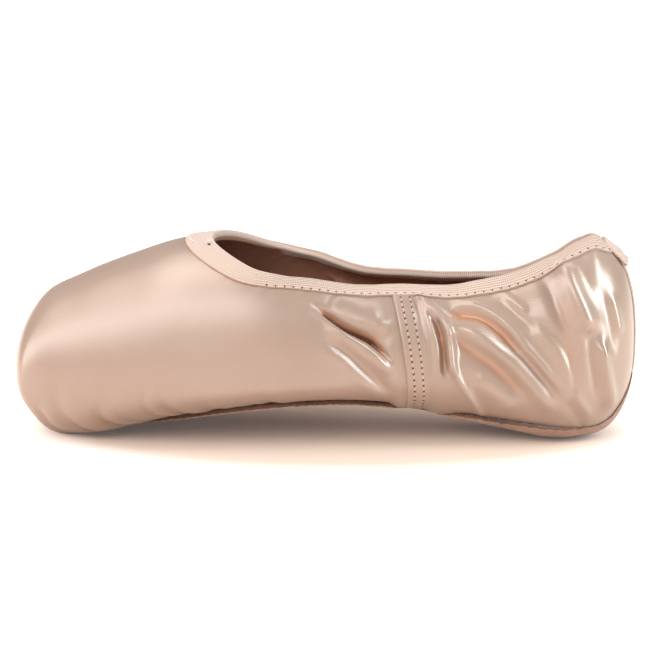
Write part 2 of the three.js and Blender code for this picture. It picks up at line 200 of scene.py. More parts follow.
def outward(points):
    """Outward direction of the last's surface."""
    step = 0.05
    slope = np.zeros_like(points)
    for axis in range(3):
        nudge = np.zeros(3)
        nudge[axis] = step
        ahead = fill(points + nudge)
        behind = fill(points - nudge)
        good = np.isfinite(ahead) & np.isfinite(behind)
        slope[..., axis] = np.where(good, np.where(good, ahead, 0) - np.where(good, behind, 0), 0)
    x = points[..., 0]
    tip = np.where(x < step, -1, np.where(x > SHOE_LENGTH - step, 1, 0))
    slope[tip != 0] = 0
    slope[..., 0] += tip
    return slope / np.linalg.norm(slope, axis=-1, keepdims=True)


def surface_height(x, y, side):
    """Top or underside of the last at a place in plan."""
    widest, _, half, rise, drop, bulge = section(x)
    power = bulge if side > 0 else LOWER_BULGE
    inside = np.maximum(1 - (np.abs(y) / half) ** power, 0) ** (1 / power)
    return widest + side * inside * (rise if side > 0 else drop)


def surface_width(x, z):
    """Half width of the last at a place seen from the side."""
    widest, _, half, rise, drop, bulge = section(x)
    high = z > widest
    power = np.where(high, bulge, LOWER_BULGE)
    reach = np.abs(z - widest) / np.where(high, rise, drop)
    return half * np.maximum(1 - reach**power, 0) ** (1 / power)


def project(core, guide):
    """Where lines from the core through the guide points leave the last."""
    inside = np.full(guide.shape[:-1], 0.05)
    outside = np.full(guide.shape[:-1], 4.0)
    halvings = 30
    for _ in range(halvings):
        middle = (inside + outside) / 2
        within = fill(core + (guide - core) * middle[..., None]) < 1
        inside = np.where(within, middle, inside)
        outside = np.where(within, outside, middle)
    return core + (guide - core) * inside[..., None]


def loop_place(turn, front, back, front_round, back_round):
    """Place along a closed loop in plan, and the share of its half width there."""
    c = np.cos(turn)
    x = np.where(c > 0, waist - (waist - front) * c, waist + (waist - back) * c)
    width = np.sqrt(np.maximum(1 - np.abs(c) ** np.where(c > 0, front_round, back_round), 0))
    return x, -np.sign(np.sin(turn)) * width


def sole_half(x):
    return column(SOLE_OUTLINE, "share", x / SHOE_LENGTH) * section(x)[1]


def make_ribs(turn, steps):
    """Profiles of the upper from its turned-in edge over the side or toe to the collar."""
    x, side = loop_place(
        turn, SOLE_SETBACK + LASTING_MARGIN, SHOE_LENGTH - LASTING_HEEL_GAP, SOLE_END_ROUND, SOLE_END_ROUND
    )
    y = side * np.minimum(sole_half(x) - LASTING_MARGIN, section(x)[2] / 2)
    start = np.stack([x, y, surface_height(x, y, -1)], -1)
    x, side = loop_place(turn, VAMP_LENGTH, collar_back, THROAT_ROUND, COLLAR_BACK_ROUND)
    y = side * column(COLLAR, "gap", np.degrees(np.arccos(np.cos(turn)))) * BALL_WIDTH / 2
    end = np.stack([x, y, surface_height(x, y, 1)], -1)
    middle = (start[:, 0] + end[:, 0]) / 2
    core_x = middle + (SHOE_LENGTH / 2 - middle) * CORE_PULL
    core = np.stack([core_x, 0 * core_x, 0 * core_x + CORE_HEIGHT], -1)
    out = np.stack([-np.cos(turn), -np.sin(turn), 0 * turn], -1) * REACH
    t = np.linspace(0, 1, steps + 1)[None, :, None]
    a, b, c, d = (corner[:, None] for corner in (start, start + out, end + out, end))
    guide = a * (1 - t) ** 3 + 3 * b * t * (1 - t) ** 2 + 3 * c * t**2 * (1 - t) + d * t**3
    return project(core[:, None], guide)


# The ribs of the whole shoe, each with evenly spaced points.
RIBS = 960
KNOTS = 181
rib_turns = np.arange(RIBS) * 2 * math.pi / RIBS
coarse = make_ribs(rib_turns, 56)
rib_points = np.empty((RIBS, KNOTS, 3))
rib_lengths = np.empty(RIBS)
for i, rib in enumerate(coarse):
    runs = np.concatenate([[0], np.cumsum(np.linalg.norm(np.diff(rib, axis=0), axis=1))])
    even = np.linspace(0, runs[-1], KNOTS)
    rib_lengths[i] = runs[-1]
    for axis in range(3):
        rib_points[i, :, axis] = np.interp(even, runs, rib[:, axis])
rib_out = outward(rib_points)
rib_runs = np.linspace(0, 1, KNOTS)[None, :] * rib_lengths[:, None]
rib_depths = rib_lengths[:, None] - rib_runs

# The folds that show in the photograph, on the near quarter and the vamp's side next to it. Each
# has points as (behind the tip, height), a width, a depth, which is below 0 for a ridge, a lip
# beside it, and the side that the lip lies on: 1 above, -1 below.
FOLDS = (
    # the long tuck in front of the seam, the puff above it and the roll below it
    (((112, 56), (119.3, 50.8), (125.6, 46.2), (130.3, 43.6), (134.7, 41), (138.7, 37.3), (142.8, 32.6)),
     1.3, 4.6, 1.3, -1),
    (((117, 55), (123, 50.6), (129, 46.6), (135, 43), (141, 37.6)), 3.6, 1.8, 0, 0),
    (((117.5, 56.5), (122, 52), (126.6, 49.1), (131, 47.4), (135.7, 46.4), (140, 48), (141.2, 54)),
     2.4, -1.1, 0, 0),
    (((120, 57), (127, 52.5), (133, 50.5), (140, 51)), 5.2, -1.7, 0, 0),
    (((117, 48.5), (127.4, 41.4), (132.2, 38), (138.3, 33.2), (143.8, 28)), 2.4, -1.7, 0, 0),
    (((116, 44), (125.7, 37.8), (131.1, 32.4), (137.7, 25.8), (143.8, 19.5)), 2.6, 1.3, 0.5, -1),
    # the ridge that starts at the binding behind the seam, its knee and the pocket beside it
    (((148.5, 58), (153.5, 54), (158.8, 50), (162.2, 45.7), (164.1, 39.8), (164.5, 32.1), (165.5, 27)),
     1.5, -2.8, 0, 0),
    (((164, 35), (166.4, 27.9), (170.1, 21.6), (174.2, 15), (177, 9)), 1.3, -1.6, 0, 0),
    (((151.5, 56), (154, 51.3), (156.7, 45.7), (158.6, 39.8), (159.4, 31.4), (159.5, 21)), 1.2, -1.5, 0, 0),
    (((157.5, 50), (159.8, 46), (161, 40.5), (161.8, 35.1), (162, 27)), 1.3, 2.8, 0, 0),
    (((161, 43), (162.8, 38), (163.1, 33.5)), 0.8, -0.9, 0, 0),
    # the hollow below the binding and the long folds that run down to the heel's seat
    (((159, 51.8), (167.9, 49.9), (173.8, 49), (179, 46.2), (184.5, 41.4), (190, 35)), 3.0, 2.4, 0, 0),
    (((161, 54.5), (169.3, 52.9), (173.7, 51.6), (179.6, 48.9), (185.5, 44.6), (191, 39), (197, 32.6),
      (201.8, 26.4), (206.4, 19.7)), 1.8, -1.7, 0, 0),
    (((184, 41.6), (189.6, 35.8), (195.2, 29.6), (200.1, 23.6), (204.2, 17)), 1.9, 1.0, 0, 0),
    (((160, 48), (170.2, 43.8), (177.6, 39.4), (185.3, 33.2), (192, 25.8), (199.8, 17), (203, 11)),
     3.0, -1.6, 0, 0),
    (((163.5, 44), (166.5, 41), (172.5, 36.4), (180.5, 31), (187.6, 24), (193.9, 16.5)), 3.8, 1.8, 0, 0),
    (((172, 29), (180, 21), (188, 13)), 4.0, -0.9, 0, 0),
    (((182, 56.6), (186.1, 54.1), (188.7, 52.2), (192, 49.6)), 1.3, -1.0, 0, 0),
    (((179, 54.5), (186.1, 50.8), (190.5, 47.8), (196, 43)), 1.9, 0.7, 0, 0),
    (((193, 49), (201, 43.5), (206.5, 36), (209, 28), (210, 19)), 2.2, 0.7, 0.3, -1),
    # the upright folds round the back of the heel
    (((203, 69), (206.5, 61.5), (209.5, 55.4), (212.4, 49.5), (215, 42)), 4.0, -3.3, 0, 0),
    (((197, 64), (200.5, 57.5), (203.5, 50.5), (206, 44), (208, 37), (209, 28)), 2.8, 1.0, 0, 0),
    (((214.3, 46), (215.5, 37.7), (216.8, 30), (218.2, 19)), 2.4, 1.0, 0, 0),
    (((218.3, 43), (220.1, 30.8), (221.5, 22.9), (223.5, 12)), 2.8, -2.9, 0, 0),
    (((222, 58), (224.6, 49), (226.2, 41)), 2.4, -0.9, 0, 0),
    (((218, 62), (220.8, 52), (222.5, 43), (223.5, 33)), 2.4, 0.5, 0, 0),
    (((209, 23), (210.8, 19.6), (212.7, 16.2), (216.5, 10)), 1.5, -0.7, 0, 0),
    (((206, 19), (210, 12), (213.5, 6)), 1.7, 0.6, 0, 0),
    # the puffed foot of the seam, which hides the sole's edge
    (((141, 17), (149, 15.5), (158, 13), (167, 10)), 6.0, -1.8, 0, 0),
)
# The far quarter isn't in the photograph. It has the same kind of folds, a little moved.
FAR_SHIFT = (3, -1.5)
FAR_STRENGTH = 0.85
FOLD_SAMPLES = 48
# A fold fades in and out along its route. Its lip lies beside it, and its side there is steeper.
FADE_IN = (0, 0.2)
FADE_OUT = (0.78, 1)
STEEP_SIDE = 0.55
LIP_PLACE = 1.35
LIP_WIDTH = 0.85


def fold_relief(points, out, side, fold, strength):
    """How far one fold pushes the points out."""
    route, width, depth, lip, toward = fold
    route = np.array(route, float)
    if side > 0:
        route += FAR_SHIFT
    knots = np.linspace(0, 1, len(route))
    share = np.linspace(0, 1, FOLD_SAMPLES)
    table = {"at": knots, "x": route[:, 0], "z": route[:, 1]}
    x = column(table, "x", share)
    z = column(table, "z", share)
    line = np.stack([x, side * surface_width(x, z), z], -1)
    tangent = np.gradient(line, axis=0)
    tangent /= np.linalg.norm(tangent, axis=1, keepdims=True)
    reach = 4 * width
    near = np.all((points > line.min(0) - reach) & (points < line.max(0) + reach), axis=1)
    relief = np.zeros(len(points))
    apart = points[near][:, None] - line[None]
    distance = np.linalg.norm(apart, axis=2)
    nearest = distance.argmin(1)
    rows = np.arange(len(nearest))
    upward = np.cross(out[near], tangent[nearest]) * -side
    above = np.sign(np.einsum("ij,ij->i", upward, apart[rows, nearest]))
    distance = distance[rows, nearest]
    fade = smooth(share[nearest], *FADE_IN) * (1 - smooth(share[nearest], *FADE_OUT))
    signed = distance * above * (toward or 1)
    steep = np.where((signed > 0) & (toward != 0), STEEP_SIDE, 1)
    trough = -depth * np.exp(-((distance / (width * steep)) ** 2))
    roll = lip * np.exp(-(((signed - LIP_PLACE * width) / (LIP_WIDTH * width)) ** 2))
    relief[near] = (trough + roll) * fade * strength
    return relief


flat_points = rib_points.reshape(-1, 3)
flat_out = rib_out.reshape(-1, 3)
relief = np.zeros(len(flat_points))
for fold in FOLDS:
    relief += fold_relief(flat_points, flat_out, -1, fold, 1)
    relief += fold_relief(flat_points, flat_out, 1, fold, FAR_STRENGTH)
relief = relief.reshape(RIBS, KNOTS)

# Pleats of the toe box, where the satin is gathered in under the front of the sole.
PLEAT_START = 4
# Each set: how many, from and to which turn in degrees, half width in degrees, depth, height.
PLEAT_SETS = (
    (58, -112, 112, 1.25, 1.3, 20),
    (17, 60, 108, 0.8, 1.0, 11),
    (17, -108, -60, 0.8, 1.0, 11),
)
chance = np.random.default_rng(7)


def wrapped(turn):
    """The same turn, between half a turn back and half a turn on."""
    return (turn + math.pi) % (2 * math.pi) - math.pi


turned = wrapped(rib_turns)
for count, first_turn, last_turn, half_width, full_depth, full_top in PLEAT_SETS:
    for k in range(count):
        step = (last_turn - first_turn) / count
        place = math.radians(first_turn + step * (k + chance.uniform(0.2, 0.8)))
        width = math.radians(half_width * chance.uniform(0.75, 1.3))
        far_back = float(smooth(abs(place), 0.9, 1.7))
        depth = full_depth * chance.uniform(0.45, 1.1) * (1 - 0.6 * far_back)
        top = full_top * chance.uniform(0.55, 1.35) * (1 - 0.5 * far_back)
        lean = math.radians(chance.uniform(-3, 3))
        apart = turned[:, None] - place - lean * rib_points[..., 2] / top
        shape = np.exp(-np.abs(apart / width) ** 1.5)
        shape -= 0.55 * np.exp(-(((apart - 1.7 * width) / width) ** 2))
        fades = 1 - smooth(rib_points[..., 2], 0.15 * top, 1.25 * top)
        fades *= smooth(rib_runs, 0, PLEAT_START)
        relief -= depth * shape * fades * (rib_depths > rib_lengths[:, None] * 0.3)

# Puckers under the binding, where the elastic gathers the satin.
PUCKERS = 58
PUCKER_DEPTH = 0.42
PUCKER_LENGTH = 6.5
PUCKER_START = 6.6
for k in range(PUCKERS):
    place = 2 * math.pi * (k + chance.uniform(0.1, 0.9)) / PUCKERS
    width = math.radians(chance.uniform(1.0, 2.0))
    depth = PUCKER_DEPTH * chance.uniform(0.3, 1.2) * float(smooth(abs(wrapped(place)), 0.5, 1.1))
    length = PUCKER_LENGTH * chance.uniform(0.6, 1.5)
    around = wrapped(rib_turns - place)[:, None]
    below = np.maximum(rib_depths - PUCKER_START, 0)
    relief -= depth * np.exp(-((around / width) ** 2) - (below / length) ** 2)

# Under the binding the cloth is held flat, and it lies flat again where the sole covers it.
UNDER_BINDING = (3, 9)
UNDER_SOLE = (1, 5)
LEFT_UNDER_BINDING = 0.25
relief *= LEFT_UNDER_BINDING + (1 - LEFT_UNDER_BINDING) * smooth(rib_depths, *UNDER_BINDING)
relief *= smooth(rib_runs, *UNDER_SOLE)

# The side seams hold it flat too. Their middle line bows towards the heel between foot and top.
SEAM_PLACE = 146
SEAM_SLANT = 4
SEAM_BOW = 3
SEAM_HOLD = 3.6
SEAM_EVENNESS = 0.75


def turn_at(x):
    return math.acos(-(x - waist) / (collar_back - waist))


def seam_turn(share):
    """Turn of the side seam's middle line, from its foot to its top."""
    foot = turn_at(SEAM_PLACE + SEAM_SLANT)
    bow = SEAM_BOW / (collar_back - waist) * np.sin(math.pi * share)
    return foot + (turn_at(SEAM_PLACE) - foot) * share + bow


rib_shares = rib_runs / rib_lengths[:, None]
from_seam = np.abs(np.abs(turned[:, None]) - seam_turn(rib_shares)) * (collar_back - waist)
relief *= 1 - SEAM_EVENNESS * np.exp(-((from_seam / SEAM_HOLD) ** 4))

# The collar's line has lost its evenness in wear: it has slumped on the far side, towards the heel,
# and stands a little higher there on the near side. It lies lower at the throat and peaks before the
# heel's back. Each slump: side, 0 for both, how far down, middle and reach behind the tip.
SLUMPS = ((1, 1.4, 196, 21), (-1, -1.5, 186, 18), (0, 0.9, 80, 16), (0, -1.7, 212, 7), (0, 1.0, 224, 6))
SLUMP_DEPTH = 26
slump = np.zeros_like(rib_depths)
for side, amount, middle, reach in SLUMPS:
    along = np.exp(-(((rib_points[..., 0] - middle) / reach) ** 4))
    slump += amount * along * (rib_points[..., 1] * side >= 0)
slump *= np.exp(-((rib_depths / SLUMP_DEPTH) ** 2))
shaped_points = rib_points - slump[..., None] * np.array([0, 0, 1])


def look_up(turn, run):
    """The upper at turns round the shoe and runs up its ribs: points, outward, how far pushed out."""
    place = (np.asarray(turn, float) / (2 * math.pi) % 1) * RIBS
    first = np.floor(place).astype(int) % RIBS
    blend = (place - np.floor(place))[:, None]
    parts = []
    for rib in (first, (first + 1) % RIBS):
        knot = run / rib_lengths[rib] * (KNOTS - 1)
        low = np.clip(np.floor(knot).astype(int), 0, KNOTS - 2)
        t = (knot - low)[:, None]
        held = np.clip(t, 0, 1)
        point = shaped_points[rib, low] * (1 - t) + shaped_points[rib, low + 1] * t
        out = rib_out[rib, low] * (1 - held) + rib_out[rib, low + 1] * held
        push = relief[rib, low][:, None] * (1 - held) + relief[rib, low + 1][:, None] * held
        parts.append((point, out, push))
    return [a * (1 - blend) + b * blend for a, b in zip(*parts)]


def skin(turn, run, lift=0.0, creased=1.0):
    """Points of the upper's outside, lifted off it."""
    point, out, push = look_up(turn, run)
    out /= np.linalg.norm(out, axis=1, keepdims=True)
    point += out * (push * creased + np.reshape(lift, (-1, 1)))
    point[:, 2] = np.maximum(point[:, 2], 0)
    return point


def rib_length(turn):
    return np.interp(turn, rib_turns, rib_lengths, period=2 * math.pi)


def read(items, name, kind=float, width=1):
    """One property of all of a mesh's items, as an array."""
    values = np.empty(len(items) * width, kind)
    items.foreach_get(name, values)
    return values.reshape(-1, width) if width > 1 else values


def drape(name, grid, place, size, flipped=False):
    """A sheet of cloth: a flat grid whose corners place() moves onto the shoe.

    size is the cloth's own width and length in millimetres, which its weave follows.
    """
    cloth = bmesh.new()
    cloth.loops.layers.uv.new("UVMap")
    bmesh.ops.create_grid(cloth, x_segments=grid[0], y_segments=grid[1], size=0.5, calc_uvs=True)
    mesh = bpy.data.meshes.new(name)
    cloth.to_mesh(mesh)
    flat = read(mesh.vertices, "co", width=3) + 0.5
    points = place(flat[:, 0], flat[:, 1]) * MM + (cad_low.x, 0, 0)
    mesh.vertices.foreach_set("co", points.ravel())
    uv = mesh.uv_layers[0].data
    uv.foreach_set("uv", (read(uv, "uv", width=2) * size).ravel())
    cloth.clear()
    cloth.from_mesh(mesh)
    bmesh.ops.remove_doubles(cloth, verts=cloth.verts, dist=1e-6)
    bmesh.ops.dissolve_degenerate(cloth, edges=cloth.edges, dist=1e-7)
    if flipped:
        bmesh.ops.reverse_faces(cloth, faces=cloth.faces)
    for face in cloth.faces:
        face.smooth = True
    cloth.to_mesh(mesh)
    cloth.free()
    piece = bpy.data.objects.new(name, mesh)
    scene.collection.objects.link(piece)
    return piece


def thicken(piece, thickness, **settings):
    """Gives a sheet its thickness, laid on behind its faces."""
    modifier = piece.modifiers.new("thickness", "SOLIDIFY")
    modifier.thickness = thickness * MM
    modifier.offset = -1
    for name, value in settings.items():
        setattr(modifier, name, value)


def feed(tree, socket, value):
    """Gives a shader socket its value, or the output socket that feeds it."""
    if isinstance(value, bpy.types.NodeSocket):
        tree.links.new(value, socket)
    else:
        socket.default_value = value


def wire(tree, kind, inputs, **settings):
    """Adds a shader node with its settings, and feeds its inputs."""
    made = tree.nodes.new(kind)
    for name, value in settings.items():
        setattr(made, name, value)
    for name, value in inputs.items():
        feed(tree, made.inputs[name], value)
    return made


def sums(tree, operation, *values):
    return wire(tree, "ShaderNodeMath", dict(enumerate(values)), operation=operation).outputs[0]


def noise(tree, place, scale, detail, roughness=0.5):
    inputs = {"Vector": place, "Scale": scale, "Detail": detail, "Roughness": roughness}
    return wire(tree, "ShaderNodeTexNoise", inputs).outputs["Fac"]


def stretch(tree, value, low, high, to_low=0.0, to_high=1.0, kind="LINEAR"):
    """Moves a value from one range, low to high, to another."""
    inputs = {"Value": value, "From Min": low, "From Max": high, "To Min": to_low, "To Max": to_high}
    return wire(tree, "ShaderNodeMapRange", inputs, interpolation_type=kind).outputs[0]


def mix(tree, factor, a, b, kind="RGBA"):
    inputs = {"Factor": factor, "A": a, "B": b}
    return wire(tree, "ShaderNodeMix", inputs, data_type=kind).outputs["Result"]


def object_place(tree):
    return wire(tree, "ShaderNodeTexCoord", {}).outputs["Object"]


def cloth_place(tree):
    return wire(tree, "ShaderNodeUVMap", {}, uv_map="UVMap").outputs[0]


def finish(material, colour, roughness, height, distance, **constants):
    """Feeds a material's surface: its colour, roughness, and a height for its bump."""
    tree = material.node_tree
    surface = tree.nodes["Principled BSDF"].inputs
    bump = wire(tree, "ShaderNodeBump", {"Height": height, "Distance": distance, "Strength": 1.0})
    feed(tree, surface["Base Color"], colour)
    feed(tree, surface["Roughness"], roughness)
    feed(tree, surface["Normal"], bump.outputs["Normal"])
    for name, value in constants.items():
        surface[name.replace("_", " ")].default_value = value
    return material


def new_material(name):
    material = bpy.data.materials.new("shoe_" + name)
    material.use_nodes = True
    return material


def new_group(name, inputs, outputs):
    """A shader node group: its tree, its inputs inside, each with a first value, and its outputs."""
    tree = bpy.data.node_groups.new(name, "ShaderNodeTree")
    for label, value in inputs.items():
        kind = "NodeSocketVector" if isinstance(value, tuple) else "NodeSocketFloat"
        tree.interface.new_socket(label, in_out="INPUT", socket_type=kind).default_value = value
    for label in outputs:
        tree.interface.new_socket(label, in_out="OUTPUT", socket_type="NodeSocketFloat")
    return tree, tree.nodes.new("NodeGroupInput").outputs, tree.nodes.new("NodeGroupOutput").inputs


def place_group(tree, group, inputs):
    return wire(tree, "ShaderNodeGroup", inputs, node_tree=group).outputs


# Satin weave: fine slanting lines with a loose float here and there.
weave_group, weave_in, weave_out = new_group(
    "satin weave", {"Cloth": (0.0, 0.0, 0.0), "Pitch": 0.8, "Slant": 0.9}, ("Height", "Shade")
)
turned_cloth = wire(
    weave_group, "ShaderNodeVectorRotate",
    {"Vector": weave_in["Cloth"], "Angle": weave_in["Slant"]}, rotation_type="Z_AXIS",
).outputs[0]
across = wire(weave_group, "ShaderNodeSeparateXYZ", {0: turned_cloth}).outputs["X"]
per_pitch = sums(weave_group, "DIVIDE", 2 * math.pi, weave_in["Pitch"])
lines = sums(weave_group, "SINE", sums(weave_group, "MULTIPLY", across, per_pitch))
floats = noise(weave_group, turned_cloth, 1.4, 3.0)
feed(weave_group, weave_out["Height"], sums(weave_group, "MULTIPLY_ADD", lines, 0.5, floats))
feed(weave_group, weave_out["Shade"], lines)

SATIN = (0.338, 0.228, 0.173, 1)
SATIN_LIGHT = (0.402, 0.287, 0.232, 1)
# Painted light: a warm colour for the light thrown back inside the folds' hollows, and a dark one for the
# shade in the deepest slit.
SATIN_PAINTED_BOUNCE = (0.47, 0.215, 0.105, 1)
SATIN_PAINTED_SLIT_SHADE = (0.11, 0.045, 0.025, 1)
# How many millimetres deep a hollow is where its colour starts to change, and where it has changed: first
# to warm painted bounce light, then to dark painted shade.
PAINTED_BOUNCE_DEPTH = (0.65, 2.4)
PAINTED_SHADE_DEPTH = (2.2, 4.2)
SATIN_CLOUDS = 34.0
SATIN_ROUGHNESS = (0.3, 0.37)


def satin_material(name, pitch, slant, strength):
    """Glossy satin: a soft sheen along the weave, with faint clouds in its colour."""
    material = new_material(name)
    tree = material.node_tree
    weave = place_group(tree, weave_group, {"Cloth": cloth_place(tree), "Pitch": pitch, "Slant": slant})
    clouds = noise(tree, object_place(tree), SATIN_CLOUDS, 3.0)
    tone = sums(tree, "MULTIPLY_ADD", weave["Shade"], 0.24, clouds)
    colour = mix(tree, tone, SATIN, SATIN_LIGHT)
    # painted bounce light and painted shade: the colour grows warmer in the hollows of the folds, where
    # satin throws its own light back, and dark in the deepest of them
    hollow = wire(tree, "ShaderNodeAttribute", {}, attribute_name="hollow").outputs["Fac"]
    warm = stretch(tree, hollow, *PAINTED_BOUNCE_DEPTH, to_high=0.85, kind="SMOOTHSTEP")
    dark = stretch(tree, hollow, *PAINTED_SHADE_DEPTH, to_high=0.95, kind="SMOOTHSTEP")
    shaded = mix(tree, dark, mix(tree, warm, colour, SATIN_PAINTED_BOUNCE), SATIN_PAINTED_SLIT_SHADE)
    gloss = stretch(tree, clouds, 0.0, 1.0, *SATIN_ROUGHNESS)
    return finish(
        material, shaded, gloss, weave["Height"], strength, Metallic=0.12, IOR=1.6, Specular_IOR_Level=0.78,
        Anisotropic=0.6, Anisotropic_Rotation=0.25, Sheen_Weight=0.08, Sheen_Roughness=0.4,
    )


SATIN_PITCH = 0.87
SATIN_SLANT = 0.52
satin = satin_material("satin", SATIN_PITCH, SATIN_SLANT, 0.000012)

# Canvas lining, plainly woven, brown in the shade of the shoe.
CANVAS_PITCH = 0.9
canvas_group, canvas_in, canvas_out = new_group(
    "plain weave", {"Cloth": (0.0, 0.0, 0.0), "Pitch": CANVAS_PITCH}, ("Height",)
)
per_thread = sums(canvas_group, "DIVIDE", 2 * math.pi, canvas_in["Pitch"])
counted = wire(
    canvas_group, "ShaderNodeVectorMath",
    {"Vector": canvas_in["Cloth"], "Scale": per_thread}, operation="SCALE",
).outputs[0]
each_way = wire(canvas_group, "ShaderNodeSeparateXYZ", {0: counted}).outputs
warp = sums(canvas_group, "SINE", each_way["X"])
weft = sums(canvas_group, "SINE", each_way["Y"])
feed(canvas_group, canvas_out["Height"], sums(canvas_group, "MULTIPLY", warp, weft))


def canvas_material(name, dark, light):
    material = new_material(name)
    tree = material.node_tree
    weave = place_group(tree, canvas_group, {"Cloth": cloth_place(tree), "Pitch": CANVAS_PITCH})
    colour = mix(tree, noise(tree, object_place(tree), 60.0, 4.0), dark, light)
    return finish(material, colour, 0.9, weave["Height"], 0.00006)


lining = canvas_material("lining", (0.28, 0.12, 0.07, 1), (0.39, 0.185, 0.12, 1))

UPPER_GRID = (552, 88)
# Columns stand closer on the near side, where the folds are, with turns in degrees.
CLOSER = {
    "turn": (0, 40, 65, 165, 180, 225, 300, 340, 360),
    "density": (1.3, 1.5, 1.5, 1.5, 1.1, 0.7, 0.8, 1, 1.3),
}


def upper_turn(around):
    fine = np.linspace(0, 360, 721)
    density = np.interp(fine, CLOSER["turn"], CLOSER["density"])
    total = np.concatenate([[0], np.cumsum((density[1:] + density[:-1]) / 2)])
    return np.radians(np.interp(around, total / total[-1], fine))


def upper_place(around, up):
    turn = upper_turn(around)
    return skin(turn, up * rib_length(turn))


upper = drape("satin_upper", UPPER_GRID, upper_place, (1, 1))
upper.data.materials.append(satin)
upper.data.materials.append(lining)
upper_uv = read(upper.data.uv_layers[0].data, "uv", width=2)
corner_turn = upper_turn(upper_uv[:, 0])
corner_run = upper_uv[:, 1] * rib_length(corner_turn)
# How deep each point lies in a fold's hollow: it places the satin's painted bounce light and painted shade.
hollow = np.zeros(len(upper.data.vertices))
corners = read(upper.data.loops, "vertex_index", int)
hollow[corners] = -look_up(corner_turn, corner_run)[2][:, 0]
upper.data.attributes.new("hollow", "FLOAT", "POINT").data.foreach_set("value", hollow)

# The cloth's own millimetres round the shoe, a whole number of weave lines, and up its ribs.
round_turns = np.linspace(0, 2 * math.pi, 721)
round_line = skin(round_turns, rib_length(round_turns) / 2, 0.0, 0.0)
round_runs = np.concatenate([[0], np.cumsum(np.linalg.norm(np.diff(round_line, axis=0), axis=1))])
line_step = SATIN_PITCH / math.cos(SATIN_SLANT)
round_runs *= round(round_runs[-1] / line_step) * line_step / round_runs[-1]
cloth_uv = np.stack([np.interp(corner_turn, round_turns, round_runs), corner_run], -1)
# The quarters are cut with their grain turned against the vamp's.
QUARTER_GRAIN = 0.62
face_starts = read(upper.data.polygons, "loop_start", int)
face_sizes = read(upper.data.polygons, "loop_total", int)
from_toe = np.arccos(np.cos(corner_turn))
face_turns = np.repeat(np.add.reduceat(from_toe, face_starts) / face_sizes, face_sizes)
grain = QUARTER_GRAIN * (face_turns > seam_turn(0.5))
cloth_uv = np.stack([
    cloth_uv[:, 0] * np.cos(grain) - cloth_uv[:, 1] * np.sin(grain),
    cloth_uv[:, 0] * np.sin(grain) + cloth_uv[:, 1] * np.cos(grain),
], -1)
upper.data.uv_layers[0].data.foreach_set("uv", cloth_uv.ravel())
walls = upper.vertex_groups.new(name="wall")
STIFF_END = 1.7 * VAMP_LENGTH
for vertex in upper.data.vertices:
    behind = (vertex.co.x - cad_low.x) / MM
    stiff = 1 - float(smooth(behind, VAMP_LENGTH, STIFF_END))
    wall = QUARTER_WALL + (BOX_WALL - QUARTER_WALL) * stiff
    walls.add([vertex.index], wall / BOX_WALL, "REPLACE")
thicken(upper, BOX_WALL, vertex_group="wall", material_offset=1, material_offset_rim=1)
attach(upper, "root")
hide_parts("upper")

# Outsole
# One flat piece of suede, cemented and stitched under the middle of the shoe and drawn up the back of the
# heel. Its cut edge is brown and fuzzy, and its rim is painted dark brown, partly its own colour and partly
# painted shade of the gap under the satin.
SOLE_GAP = 0.5
SOLE_THICKNESS = 2
SOLE_HEEL_RISE = 24
FIT_GAP = 0.3
UNDER_STEPS = 240


def under_line(front, back, rise):
    """Middle line of the last's underside, up the heel's back to a height: points, runs, outward."""
    x = front + (back - front) * np.sin(np.linspace(0, math.pi / 2, UNDER_STEPS + 1))
    points = np.stack([x, 0 * x, surface_height(x, 0 * x, -1)], -1)
    points = points[(x <= waist) | (points[:, 2] <= rise)]
    runs = np.concatenate([[0], np.cumsum(np.linalg.norm(np.diff(points, axis=0), axis=1))])
    return points, runs, outward(points)


def plate_place(line, half, offset):
    """Places a plate under the foot, at an offset from the last that may vary over it."""
    points, runs, out = line
    middle = runs[points[:, 0] <= waist][-1]
    depth = INSTEP_HEIGHT / 4

    def place(along, across):
        run = (1 - np.cos(math.pi * along)) / 2 * runs[-1]
        at = np.stack([np.interp(run, runs, points[:, k]) for k in range(3)], -1)
        away = np.stack([np.interp(run, runs, out[:, k]) for k in range(3)], -1)
        end = np.where(run < middle, 0, runs[-1])
        share = np.clip((run - middle) / (end - middle), 0, 1)
        width = half(at[:, 0]) * np.sqrt(1 - share**SOLE_END_ROUND)
        side = -np.cos(math.pi * across)
        guide = at.copy()
        guide[:, 1] = width * side
        foot = project(guide - away * depth, guide)
        lifted = foot + outward(foot) * offset(run, side)[:, None]
        lifted[:, 2] = np.maximum(lifted[:, 2], 0)
        return lifted

    return place


sole_line = under_line(SOLE_SETBACK, SHOE_LENGTH - FIT_GAP, SOLE_HEEL_RISE)
EDGE_ROUND = 0.7

# The sole is skived thin at its front and up the back of the heel.
SOLE_THIN = 0.25
SKIVE_FRONT = (-4, 34)
SKIVE_HEEL = (25, 50)
sole_total = sole_line[1][-1]


def sole_share(run):
    """Thickness of the sole along its length, as a share of the full one."""
    full = smooth(run, *SKIVE_FRONT) * smooth(sole_total - run, *SKIVE_HEEL)
    return SOLE_THIN + (1 - SOLE_THIN) * full


def sole_offset(run, side):
    ragged = 0.12 * np.sin(run * 1.9) + 0.08 * np.sin(run * 4.3 + side)
    rounded = (EDGE_ROUND + ragged) * np.abs(side) ** 14
    return (SOLE_GAP + SOLE_THICKNESS - rounded) * sole_share(run)


# At the seam's foot the puffed satin hides the edge of the sole.
SEAM_FOOT = 152.5
SEAM_FOOT_REACH = 8
SEAM_FOOT_TUCK = 8


def sole_edge_half(x):
    wavy = 0.22 * np.sin(x * 1.3) + 0.14 * np.sin(x * 3.1) + 0.1 * np.sin(x * 7.3)
    tuck = SEAM_FOOT_TUCK * np.exp(-(((x - SEAM_FOOT) / SEAM_FOOT_REACH) ** 4))
    return sole_half(x) + wavy - tuck


